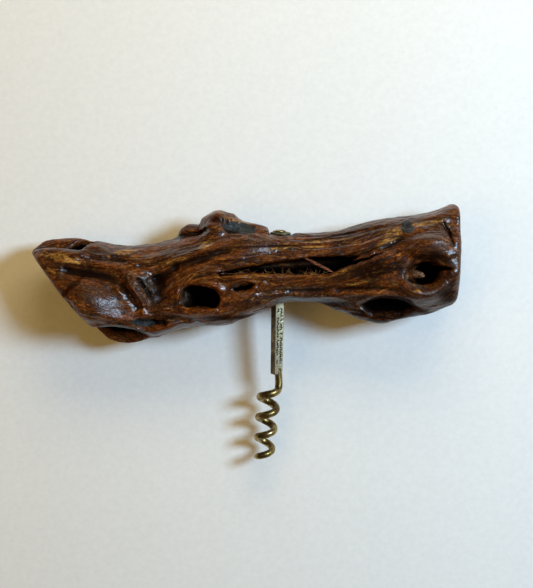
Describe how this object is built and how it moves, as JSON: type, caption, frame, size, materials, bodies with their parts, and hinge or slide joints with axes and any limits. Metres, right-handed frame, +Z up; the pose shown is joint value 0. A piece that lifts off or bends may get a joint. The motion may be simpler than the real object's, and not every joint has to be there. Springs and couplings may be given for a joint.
{
  "type": "vine-root corkscrew",
  "caption": "Straight-pull corkscrew: a forged worm on a square shank, riveted through a varnished, gnarled vine-root handle lying on its back.",
  "frame": {"origin": "where the line of the bore crosses the middle of the handle, where the fingers straddle the shank", "axes": "as it lies on a table: +X along the handle to the square-sawn end, +Z up off the table, and -Y the side the worm points to; the worm dips 7 degrees below level"},
  "size_m": [0.1805, 0.1096, 0.0371],
  "materials": {
    "vine_wood": "dark chestnut vine root under thick glossy varnish",
    "forged_steel": "worn plating with brown-gold patina",
    "washer_brass": "dull brass with greenish tarnish",
    "sliver_wood": "torn reddish-orange wood, satin",
    "knot_wood": "dark, dead end-grain, satin",
    "bark": "rough grey-green bark, matt"
  },
  "bodies": {
    "root": {"handle": "vine_wood", "worm": "forged_steel", "rivet_washer": "washer_brass", "bridging_sliver": "sliver_wood", "dead_knots": "knot_wood", "bark_remnants": "bark"}
  },
  "joints": []
}
